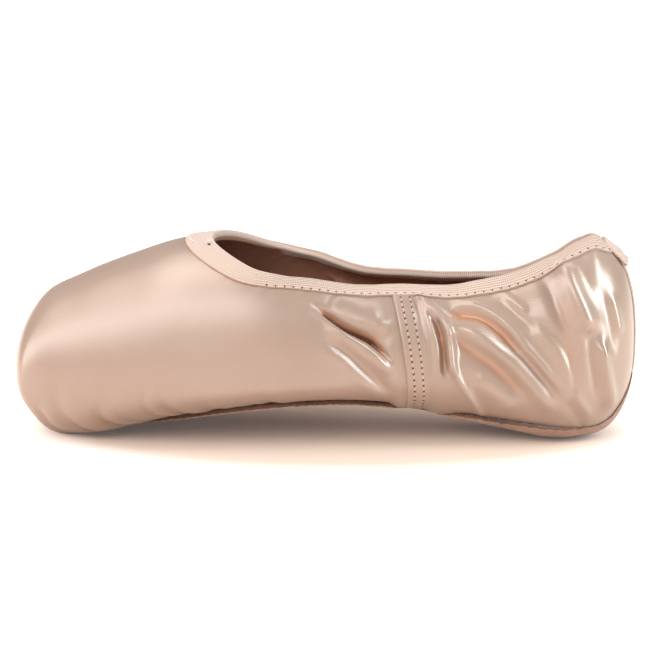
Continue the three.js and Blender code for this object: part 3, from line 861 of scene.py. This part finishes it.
SOLE_GRID = (260, 56)
outsole = drape(
    "suede_outsole", SOLE_GRID, plate_place(sole_line, sole_edge_half, sole_offset), (1, 1), flipped=True
)
skived = outsole.vertex_groups.new(name="skived")
sole_uv = outsole.data.uv_layers[0].data
for loop in outsole.data.loops:
    run = (1 - math.cos(math.pi * sole_uv[loop.index].uv.x)) / 2 * sole_total
    skived.add([loop.vertex_index], float(sole_share(run)), "REPLACE")
# Sole and insole are drawn a little thinner than their solids, clear of what lies on them.
PLATE_GAP = 0.2
thicken(outsole, SOLE_THICKNESS - PLATE_GAP, vertex_group="skived", material_offset_rim=1)

NAP_SCALE = 900.0
suede_group, suede_in, suede_out = new_group(
    "suede nap", {"Place": (0.0, 0.0, 0.0), "Scale": NAP_SCALE}, ("Height", "Tone")
)
nap = noise(suede_group, suede_in["Place"], suede_in["Scale"], 5.0, 0.65)
brushed = noise(suede_group, suede_in["Place"], 55.0, 4.0)
feed(suede_group, suede_out["Height"], nap)
feed(suede_group, suede_out["Tone"], sums(suede_group, "MULTIPLY", nap, brushed))


def suede_material(name, dark, light):
    material = new_material(name)
    tree = material.node_tree
    hide = place_group(tree, suede_group, {"Place": object_place(tree), "Scale": NAP_SCALE})
    colour = mix(tree, stretch(tree, hide["Tone"], 0.12, 0.4), dark, light)
    return finish(
        material, colour, 0.95, hide["Height"], 0.00025, Sheen_Weight=0.3, Sheen_Roughness=0.6
    )


suede = suede_material("suede", (0.27, 0.135, 0.085, 1), (0.46, 0.27, 0.185, 1))
outsole.data.materials.append(suede)
# The rim is painted dark brown: partly the cut edge's own colour, partly painted shade of the gap between
# satin and sole.
cut_edge_and_gap_shade = suede_material("cut_edge_and_gap_shade", (0.10, 0.045, 0.026, 1), (0.21, 0.105, 0.066, 1))
outsole.data.materials.append(cut_edge_and_gap_shade)
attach(outsole, "root")
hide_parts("outsole")

# Insole
# A thin board covered with the lining cloth, laid loose over the turned-in edge of the upper.
INSOLE_THICKNESS = 1.6
INSOLE_SETBACK = 21
INSOLE_HEEL_GAP = 11
INSOLE_SHARE = 0.7
LINING_GAP = 0.6
insole_line = under_line(INSOLE_SETBACK, SHOE_LENGTH - INSOLE_HEEL_GAP, HEEL_HEIGHT)


def insole_half(x):
    return section(x)[2] * INSOLE_SHARE


def insole_offset(run, side):
    crown = 0.5 * np.abs(side) ** 10
    return -(BOX_WALL + LINING_GAP + INSOLE_THICKNESS) + crown + 0 * run


INSOLE_GRID = (160, 40)
INSOLE_CLOTH = (200, 55)
insole = drape(
    "insole_board", INSOLE_GRID, plate_place(insole_line, insole_half, insole_offset), INSOLE_CLOTH,
    flipped=True,
)
thicken(insole, INSOLE_THICKNESS - 2 * PLATE_GAP)
insole_cloth = canvas_material("insole_cloth", (0.38, 0.22, 0.16, 1), (0.52, 0.33, 0.25, 1))
insole.data.materials.append(insole_cloth)
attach(insole, "root")
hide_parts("insole")

# Collar binding
# A knitted elastic, folded over the raw edge of the satin and lining and stitched through both. Its
# fine ribs run along it, and its lower edge has one row of stitches.
BINDING_INSIDE = 5.4
BINDING_THICKNESS = 0.8
BINDING_CLEARANCE = 0.12
BINDING_RIBS = 6.5
BINDING_RIB_HEIGHT = 0.2
THROAT_SMOOTH = (32, 62)
THROAT_CALM = 0.8
OUTSIDE_STEPS = 38
FOLD_STEPS = 8
INSIDE_STEPS = 26
BINDING_AROUND = 560


def binding_profile():
    """Closed section of the binding: how far below the collar's edge, and how far off the satin."""
    outside = BINDING_CLEARANCE + BINDING_THICKNESS
    inside = -QUARTER_WALL - BINDING_CLEARANCE - BINDING_THICKNESS
    rows = []
    for k in range(OUTSIDE_STEPS + 1):
        share = k / OUTSIDE_STEPS
        ridge = BINDING_RIB_HEIGHT * abs(math.sin(math.pi * BINDING_RIBS * share)) ** 0.6
        edge = 0.5 * math.exp(-share * 20)
        rows.append(((1 - share), outside - edge + ridge, 1))
    middle = (outside + inside) / 2
    radius = (outside - inside) / 2
    for k in range(1, FOLD_STEPS):
        angle = math.pi * k / FOLD_STEPS
        rows.append((-radius * 0.8 * math.sin(angle), middle + radius * math.cos(angle), 0))
    for k in range(INSIDE_STEPS + 1):
        share = k / INSIDE_STEPS
        ridge = BINDING_RIB_HEIGHT * abs(math.sin(math.pi * BINDING_RIBS * share))
        edge = 0.4 * math.exp(-(1 - share) * 12)
        rows.append((share * BINDING_INSIDE, inside + edge - ridge, 0))
    rows.append((BINDING_INSIDE, -QUARTER_WALL - BINDING_CLEARANCE, 0))
    rows.append((BINDING_INSIDE / 2, -QUARTER_WALL - BINDING_CLEARANCE, 0))
    rows.append((-BINDING_CLEARANCE, -QUARTER_WALL - BINDING_CLEARANCE, 0))
    rows.append((-BINDING_CLEARANCE, BINDING_CLEARANCE, 0))
    rows.append((0.5, BINDING_CLEARANCE, 1))
    rows.append((1, BINDING_CLEARANCE, 1))
    rows.append(rows[0])
    return np.array(rows)


binding_rows = binding_profile()
binding_knots = np.linspace(0, 1, len(binding_rows))


ELASTIC = {
    "turn": (0, 16, 40, 60, 95, 110, 150, 180),
    "width": (9.6, 9.2, 7.8, 7.2, 6.4, 7.8, 8.2, 7.4),
}


def binding_width(turn):
    """The elastic is wider at the throat and round the back quarter than at the sides."""
    return np.interp(np.degrees(np.arccos(np.cos(turn))), ELASTIC["turn"], ELASTIC["width"])


def binding_place(around, up):
    turn = around * 2 * math.pi
    row = np.stack([np.interp(up, binding_knots, binding_rows[:, k]) for k in range(3)], -1)
    depth = np.where(row[:, 2] > 0.5, row[:, 0] * binding_width(turn), row[:, 0])
    stretched = 1 - smooth(np.degrees(np.arccos(np.cos(turn))), *THROAT_SMOOTH)
    flat = np.minimum(row[:, 1], BINDING_CLEARANCE + BINDING_THICKNESS)
    calm = np.where(row[:, 2] > 0.5, flat, row[:, 1])
    lift = row[:, 1] + (calm - row[:, 1]) * THROAT_CALM * stretched
    return skin(turn, rib_length(turn) - depth, lift)


KNIT_AROUND = 336
binding_steps = len(binding_rows) - 1
binding = drape(
    "elastic_binding", (BINDING_AROUND, binding_steps), binding_place,
    (KNIT_AROUND, binding_steps * BINDING_RIBS / OUTSIDE_STEPS),
)
KNIT_PITCH = 0.62
knit_group, knit_in, knit_out = new_group(
    "knit", {"Cloth": (0.0, 0.0, 0.0), "Pitch": KNIT_PITCH}, ("Height", "Tone")
)
along_knit, over_ribs, _ = wire(knit_group, "ShaderNodeSeparateXYZ", {0: knit_in["Cloth"]}).outputs
# One unit over the ribs is one rib. Its loops lean one way in one rib and the other way in the next.
row_phase = sums(knit_group, "MULTIPLY", over_ribs, math.pi)
rib_crown = sums(knit_group, "ABSOLUTE", sums(knit_group, "SINE", row_phase))
zigzag = sums(knit_group, "PINGPONG", over_ribs, 1.0)
slid = sums(knit_group, "MULTIPLY_ADD", zigzag, 0.7, along_knit)
per_loop = sums(knit_group, "DIVIDE", 2 * math.pi, knit_in["Pitch"])
loops = sums(knit_group, "SINE", sums(knit_group, "MULTIPLY", slid, per_loop))
# The ribs are stretched flat round the throat.
from_heel = sums(knit_group, "ABSOLUTE", sums(knit_group, "SUBTRACT", along_knit, KNIT_AROUND / 2))
pulled = stretch(knit_group, from_heel, 110.0, 140.0, to_high=0.85, kind="SMOOTHSTEP")
even_crown = mix(knit_group, pulled, rib_crown, 0.75, "FLOAT")
# The colour takes the same height: the knit is painted darker in the grooves between its ribs and loops, a
# painted shade.
both = sums(knit_group, "MULTIPLY_ADD", loops, 0.3, even_crown)
feed(knit_group, knit_out["Height"], both)
feed(knit_group, knit_out["Tone"], both)

elastic = new_material("elastic")
tree = elastic.node_tree
knit = place_group(tree, knit_group, {"Cloth": cloth_place(tree), "Pitch": KNIT_PITCH})
# Painted shade: the elastic's colour is darker in the grooves of its knit.
shade = stretch(tree, knit["Tone"], 0.0, 1.1)
colour = mix(tree, shade, (0.31, 0.205, 0.16, 1), (0.63, 0.485, 0.405, 1))
finish(elastic, colour, 0.75, knit["Height"], 0.00012, Sheen_Weight=0.2, Sheen_Roughness=0.5)
binding.data.materials.append(elastic)
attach(binding, "root")
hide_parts("collar_binding")

# Side seams
# A felled seam joins each quarter to the vamp: a flat band of satin with two rows of stitches. The
# vamp tucks under its front edge, and its back edge lies level with the quarter.
SEAM_WIDTH = 8.4
SEAM_THICKNESS = 0.8
SEAM_LIFT = 0.75
SEAM_BOTTOM = 9
SEAM_OVERLAP = 0.4
SEAM_GRID = (30, 150)
# Across the band, from its front edge: the edge turned in, the seam's line, where it levels off.
SEAM_TURNED_IN = 0.07
SEAM_MIDDLE = 0.42
SEAM_LEVELS = 0.6


def cloth_width(turn, run):
    """Millimetres round the shoe for one radian of turn."""
    step = 0.01
    return np.linalg.norm(skin(turn + step, run) - skin(turn - step, run), axis=1) / (2 * step)


def seam_run(turn, along):
    top = rib_length(turn) - binding_width(turn) + SEAM_OVERLAP
    return SEAM_BOTTOM + (top - SEAM_BOTTOM) * along


def seam_place(side):
    def place(across, along):
        turn = side * seam_turn(along)
        run = seam_run(turn, along)
        turned_in = 1 - np.clip(1 - across / SEAM_TURNED_IN, 0, 1) ** 2
        level = 1 - 0.9 * smooth(across, SEAM_LEVELS, 1)
        shift = side * (across - SEAM_MIDDLE) * SEAM_WIDTH / cloth_width(turn, run)
        return skin(turn + shift, run, SEAM_LIFT * turned_in * level)

    return place


# A row of stitches: a pale thread between needle holes, which are dark dots of painted shade.
HOLE_RADIUS = 0.42
THREAD_LENGTH = 0.62
THREAD_RADIUS = 0.2


def stitch_row(points, outs, hole_shades, threads):
    """Adds needle holes at the points as dark dots of painted shade, and a thread along the surface between
    each two.
    """
    for k, (point, out) in enumerate(zip(points, outs)):
        ahead = points[k + 1] if k + 1 < len(points) else 2 * point - points[k - 1]
        along = Vector(ahead - point)
        out = Vector(out).normalized()
        side = out.cross(along).normalized()
        forward = side.cross(out)
        turn = Matrix((forward, side, out)).transposed().to_4x4()
        flat = Matrix.Diagonal((1.0, 1.0, 0.3, 1.0))
        bmesh.ops.create_icosphere(hole_shades, subdivisions=2, radius=HOLE_RADIUS * MM,
                                   matrix=Matrix.Translation(Vector(point)) @ turn @ flat)
        if k + 1 < len(points):
            long = along.length * THREAD_LENGTH / 2 / (THREAD_RADIUS * MM)
            lying = Matrix.Diagonal((long, 1.0, 0.7, 1.0))
            middle = Matrix.Translation(Vector((point + ahead) / 2) + out * 0.0001)
            bmesh.ops.create_icosphere(threads, subdivisions=2, radius=THREAD_RADIUS * MM,
                                       matrix=middle @ turn @ lying)


def surface_frame(place, across, along):
    """Points of a placed sheet in metres, and its outward directions there."""
    step = 0.002
    point = place(across, along)
    right = place(across + step, along) - place(across - step, along)
    ahead = place(across, along + step) - place(across, along - step)
    out = np.cross(right, ahead)
    out /= np.linalg.norm(out, axis=1, keepdims=True)
    middle = np.array([SHOE_LENGTH / 2, 0, CORE_HEIGHT])
    out *= np.sign(np.einsum("ij,ij->i", out, point - middle))[:, None]
    return point * MM + (cad_low.x, 0, 0), out


def small_parts(name, shape, material):
    for face in shape.faces:
        face.smooth = True
    mesh = bpy.data.meshes.new(name)
    shape.to_mesh(mesh)
    shape.free()
    piece = bpy.data.objects.new(name, mesh)
    scene.collection.objects.link(piece)
    piece.data.materials.append(material)
    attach(piece, "root")


def thread_material(name, dark, light):
    """Twisted thread, with painted shade darker between its strands."""
    material = new_material(name)
    tree = material.node_tree
    inputs = {"Vector": object_place(tree), "Scale": 900.0, "Distortion": 2.0}
    twist = wire(tree, "ShaderNodeTexWave", inputs).outputs["Fac"]
    return finish(material, mix(tree, twist, dark, light), 0.6, twist, 0.00003)


thread = thread_material("thread", (0.50, 0.35, 0.27, 1), (0.72, 0.55, 0.45, 1))
# Painted shade: a near-black material for the shade inside needle holes and along the back tape's edges.
dark_painted_shade = thread_material("dark_painted_shade", (0.045, 0.025, 0.018, 1), (0.10, 0.055, 0.04, 1))
band_satin = satin_material("seam_satin", 0.6, 1.3, 0.00003)
SEAM_ROWS = (0.33, 0.73)
SEAM_STITCHES = 21
for name, side, node in (("near", 1, "side_seam_near"), ("far", -1, "side_seam_far")):
    place = seam_place(side)
    band = drape("seam_band_" + name, SEAM_GRID, place, (SEAM_WIDTH, 50), flipped=side < 0)
    thicken(band, SEAM_THICKNESS)
    band.data.materials.append(band_satin)
    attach(band, "root")
    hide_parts(node)
    hole_shades = bmesh.new()
    threads = bmesh.new()
    for row in SEAM_ROWS:
        along = np.linspace(0.1, 0.97, SEAM_STITCHES)
        points, outs = surface_frame(place, row + 0 * along, along)
        stitch_row(points, outs, hole_shades, threads)
    small_parts("seam_hole_shades_" + name, hole_shades, dark_painted_shade)
    small_parts("seam_threads_" + name, threads, thread)

# Stitches of the binding: one row near its lower edge, round the collar but for the front of the throat.
BINDING_STITCHES = 118
ROW_ABOVE_EDGE = 0.9
even_turns = np.linspace(0, 2 * math.pi, 2001)
collar_line = skin(even_turns, rib_length(even_turns) - binding_width(even_turns) + ROW_ABOVE_EDGE)
collar_runs = np.concatenate([[0], np.cumsum(np.linalg.norm(np.diff(collar_line, axis=0), axis=1))])
stitch_runs = np.linspace(0, collar_runs[-1], BINDING_STITCHES, endpoint=False)
stitch_turns = np.interp(stitch_runs, collar_runs, even_turns)

STITCHED_PATCH = 4
STITCH_LIFT = 0.04


def binding_face(across, along):
    """The binding's outside, in a band that the stitch row runs along the middle of."""
    turn = across * 2 * math.pi
    depth = binding_width(turn) - ROW_ABOVE_EDGE + (0.5 - along) * STITCHED_PATCH
    return skin(turn, rib_length(turn) - depth, BINDING_CLEARANCE + BINDING_THICKNESS + STITCH_LIFT)


UNSTITCHED = math.radians(52)
stitch_turns = stitch_turns[(stitch_turns > UNSTITCHED) & (stitch_turns < 2 * math.pi - UNSTITCHED)]
hole_shades = bmesh.new()
threads = bmesh.new()
points, outs = surface_frame(binding_face, stitch_turns / (2 * math.pi), 0.5 + 0 * stitch_turns)
stitch_row(points, outs, hole_shades, threads)


def thread_end(shape, root, lean, length, sunk, radius, taper, sides):
    """A short straight thread that stands out of the cloth, with its foot sunk in."""
    turn = lean.to_track_quat("Z", "Y").to_matrix().to_4x4()
    middle = Matrix.Translation(root + lean * (length / 2 - sunk) * MM)
    bmesh.ops.create_cone(shape, cap_ends=True, segments=sides, radius1=radius * MM,
                          radius2=radius * taper * MM, depth=length * MM, matrix=middle @ turn)


def binding_spot(across, along):
    spots, _ = surface_frame(binding_face, np.array([across]), np.array([along]))
    return Vector(spots[0])


# A pinhole near the throat's middle, a dark dot of painted shade, and two cut ends of thread on the fold
# above it.
PINHOLE = (0.045, 2.05)
PINHOLE_RADIUS = 0.63
THREAD_ENDS = ((0.03, 1.0, (-0.6, -0.4, 0.6)), (0.035, 2.0, (0.8, -0.4, 0.35)))
END_LENGTH = 3.6
END_SUNK = 0.72
END_RADIUS = 0.24
bmesh.ops.create_icosphere(hole_shades, subdivisions=2, radius=PINHOLE_RADIUS * MM,
                           matrix=Matrix.Translation(binding_spot(*PINHOLE)))
ends = bmesh.new()
for across, along, lean in THREAD_ENDS:
    lean = Vector(lean).normalized()
    thread_end(ends, binding_spot(across, along), lean, END_LENGTH, END_SUNK, END_RADIUS, 0.7, 8)
white_thread = thread_material("white_thread", (0.70, 0.62, 0.56, 1), (0.88, 0.82, 0.77, 1))
small_parts("binding_hole_shades", hole_shades, dark_painted_shade)
small_parts("binding_threads", threads, thread)
small_parts("thread_ends", ends, white_thread)

# A thin brown line under the binding's edge, from the throat to where the stitches start: glue, and painted
# shadow of the edge.
GLUE_AND_SHADE_WIDTH = 0.55
GLUE_AND_SHADE_THICKNESS = 0.12
GLUE_AND_SHADE_GRID = (220, 4)
GLUE_AND_SHADE_SPREAD = math.radians(50)


def glue_and_shade_place(across, along):
    turn = GLUE_AND_SHADE_SPREAD * (2 * across - 1)
    ragged = 0.12 * np.sin(across * 71) + 0.1 * np.sin(across * 173)
    depth = binding_width(turn) + (GLUE_AND_SHADE_WIDTH + ragged) * (0.6 - along)
    return skin(turn, rib_length(turn) - depth, 0.16 - 0.2 * np.abs(2 * along - 1) ** 4)


glue_and_shade = drape("glue_and_shade_line", GLUE_AND_SHADE_GRID, glue_and_shade_place, (90, 1))
thicken(glue_and_shade, GLUE_AND_SHADE_THICKNESS)
glue_and_shade.data.materials.append(thread_material("glue_and_shade", (0.25, 0.10, 0.045, 1), (0.42, 0.19, 0.09, 1)))
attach(glue_and_shade, "root")

# Back seam
# The two quarters meet up the back of the heel under a narrow folded tape.
BACK_SEAM_WIDTH = 4.4
BACK_SEAM_FOOT = 23
BACK_SEAM_TOP = 6.2


def back_place(across, along):
    turn = math.pi + 0 * across
    run = BACK_SEAM_FOOT + (rib_length(turn) - BACK_SEAM_TOP - BACK_SEAM_FOOT) * along
    crown = 1 - np.abs(2 * across - 1) ** 6
    shift = (across - 0.5) * BACK_SEAM_WIDTH / cloth_width(turn, run)
    return skin(turn + shift, run, SEAM_LIFT * (0.1 + 0.9 * crown))


tape = drape("back_tape", (16, 120), back_place, (BACK_SEAM_WIDTH, 50))
# The tape's rim is painted near-black, as the shade along its edges.
thicken(tape, SEAM_THICKNESS, material_offset_rim=1)
tape.data.materials.append(band_satin)
tape.data.materials.append(dark_painted_shade)
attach(tape, "root")
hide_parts("back_seam")

# Heel tab
# The two ends of the elastic are turned over at the back of the heel and left as a short raw stub.
TAB_WIDTH = 8.5
TAB_LENGTH = 11.5
TAB_THICKNESS = 1.1
TAB_CLEARANCE = 0.8
TAB_FLARE = 0.9
TAB_WAVES = ((1.1, 0.3, 2.1), (2.3, 1.7, 0.4), (4.1, 2.9, 1.2))
TAB_RAGGED = {"length": 0.4, "lift": 0.35, "width": 0.03}


def tab_place(across, along):
    """The stub from its ragged free end to the fold at the collar's top."""
    ragged = sum(np.sin(a * across * 6 + b * along * 5 + c) for a, b, c in TAB_WAVES) / 3
    turn = math.pi + 0 * across
    short = TAB_LENGTH - TAB_THICKNESS + TAB_RAGGED["length"] * ragged * (1 - along)
    run = rib_length(turn) - TAB_THICKNESS - short * (1 - along)
    puffed = TAB_THICKNESS * (1 - np.abs(2 * across - 1) ** 6)
    lift = TAB_CLEARANCE + puffed + TAB_FLARE * (1 - along) ** 2 + TAB_RAGGED["lift"] * ragged
    width = TAB_WIDTH * (1 + TAB_RAGGED["width"] * ragged)
    return skin(turn + (across - 0.5) * width / cloth_width(turn, run), run, lift)


tab = drape("heel_stub", (30, 50), tab_place, (9, 14))
thicken(tab, TAB_THICKNESS)
tab.data.materials.append(elastic)
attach(tab, "root")
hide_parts("heel_tab")

# Loose ends of the elastic's threads stick out of its raw edge.
HAIRS = 46
HAIR_LENGTH = (0.8, 2.4)
HAIR_SUNK = 0.3
HAIR_RADIUS = 0.07
hair_shape = bmesh.new()
hair_across = chance.uniform(0.04, 0.96, HAIRS)
hair_along = chance.uniform(0.0, 0.1, HAIRS)
roots, ways = surface_frame(tab_place, hair_across, hair_along)
for root, way in zip(roots, ways):
    length = chance.uniform(*HAIR_LENGTH)
    lean = Vector(way) * chance.uniform(-0.2, 0.5) + Vector((0.15, chance.uniform(-0.5, 0.5), -0.8))
    lean.normalize()
    thread_end(hair_shape, Vector(root), lean, length, HAIR_SUNK, HAIR_RADIUS, 0.4, 6)
small_parts("stub_hairs", hair_shape, thread)

# Studio
# A plain pale floor and six soft lights: a large one high in front, one above the toe and one
# behind, a tall one beside the heel, and two weak ones beside the toe.
floor_shape = bmesh.new()
bmesh.ops.create_grid(floor_shape, x_segments=1, y_segments=1, size=4)
floor_mesh = bpy.data.meshes.new("floor")
floor_shape.to_mesh(floor_mesh)
floor_shape.free()
floor = bpy.data.objects.new("floor", floor_mesh)
floor.location.z = -0.0002
scene.collection.objects.link(floor)
# The floor's base colour is warm: painted light thrown back from the shoe, which shows in the floor's shade
# beside it. Away from the shoe the floor glows white to the camera and in reflections, as a white backdrop.
WARM_FLOOR_PAINTED_BOUNCE = (0.72, 0.57, 0.47, 1)
GLOW_STARTS = 0.6
GLOW_FULL = 0.92
GLOW_LEAST = 0.06
GLOW_MIRRORED = 0.85
SHOE_SPREAD = (1 / 0.150, 1 / 0.078, 0)
floor_paint = new_material("floor")
tree = floor_paint.node_tree
oval = wire(tree, "ShaderNodeVectorMath", {0: object_place(tree), 1: SHOE_SPREAD}, operation="MULTIPLY")
away = wire(tree, "ShaderNodeVectorMath", {0: oval.outputs[0]}, operation="LENGTH").outputs["Value"]
glow = stretch(tree, away, GLOW_STARTS, GLOW_FULL, GLOW_LEAST, 1.0, "SMOOTHSTEP")
seen = wire(tree, "ShaderNodeLightPath", {}).outputs
mirrored = sums(tree, "MULTIPLY_ADD", seen["Is Glossy Ray"], GLOW_MIRRORED, seen["Is Camera Ray"])
paint = tree.nodes["Principled BSDF"].inputs
paint["Base Color"].default_value = WARM_FLOOR_PAINTED_BOUNCE
paint["Roughness"].default_value = 0.9
paint["Specular IOR Level"].default_value = 0.0
paint["Emission Color"].default_value = (1, 1, 1, 1)
feed(tree, paint["Emission Strength"], sums(tree, "MULTIPLY", glow, mirrored))
floor.data.materials.append(floor_paint)


def soft_light(name, azimuth, elevation, distance, size, power, colour=(1, 1, 1)):
    """An area light: its place in degrees and metres, its size in metres, its power in watts."""
    lamp = bpy.data.lights.new(name, "AREA")
    lamp.shape = "RECTANGLE"
    lamp.size, lamp.size_y = size
    lamp.energy = power
    lamp.color = colour
    light = bpy.data.objects.new(name, lamp)
    a, e = math.radians(azimuth), math.radians(elevation)
    toward = Vector((math.sin(a) * math.cos(e), -math.cos(a) * math.cos(e), math.sin(e)))
    light.location = toward * distance + Vector((0, 0, 0.04))
    light.rotation_euler = (-toward).to_track_quat("-Z", "Y").to_euler()
    scene.collection.objects.link(light)


soft_light("high_front", -28, 36, 2.4, (2.7, 1.3), 49)
soft_light("above_toe", -100, 66, 1.6, (1.4, 0.8), 15, (1.0, 0.93, 0.88))
soft_light("front_left", -74, 14, 1.3, (0.7, 0.6), 5.8)
soft_light("beside_heel", 76, 20, 0.9, (0.28, 0.9), 9.5, (0.86, 0.98, 1.0))
soft_light("beside_toe", -84, 30, 1.2, (0.8, 0.6), 1.4, (1.0, 0.95, 0.96))
soft_light("behind", 165, 48, 1.6, (1.2, 0.8), 6)

ROOM_LIGHT = 0.2
world = bpy.data.worlds.new("studio")
world.use_nodes = True
backdrop = world.node_tree.nodes["Background"].inputs
backdrop["Color"].default_value = (1, 1, 1, 1)
seen = wire(world.node_tree, "ShaderNodeLightPath", {}).outputs["Is Camera Ray"]
feed(world.node_tree, backdrop["Strength"], stretch(world.node_tree, seen, 0.0, 1.0, ROOM_LIGHT, 1.0))
scene.world = world
scene.view_settings.view_transform = "Standard"
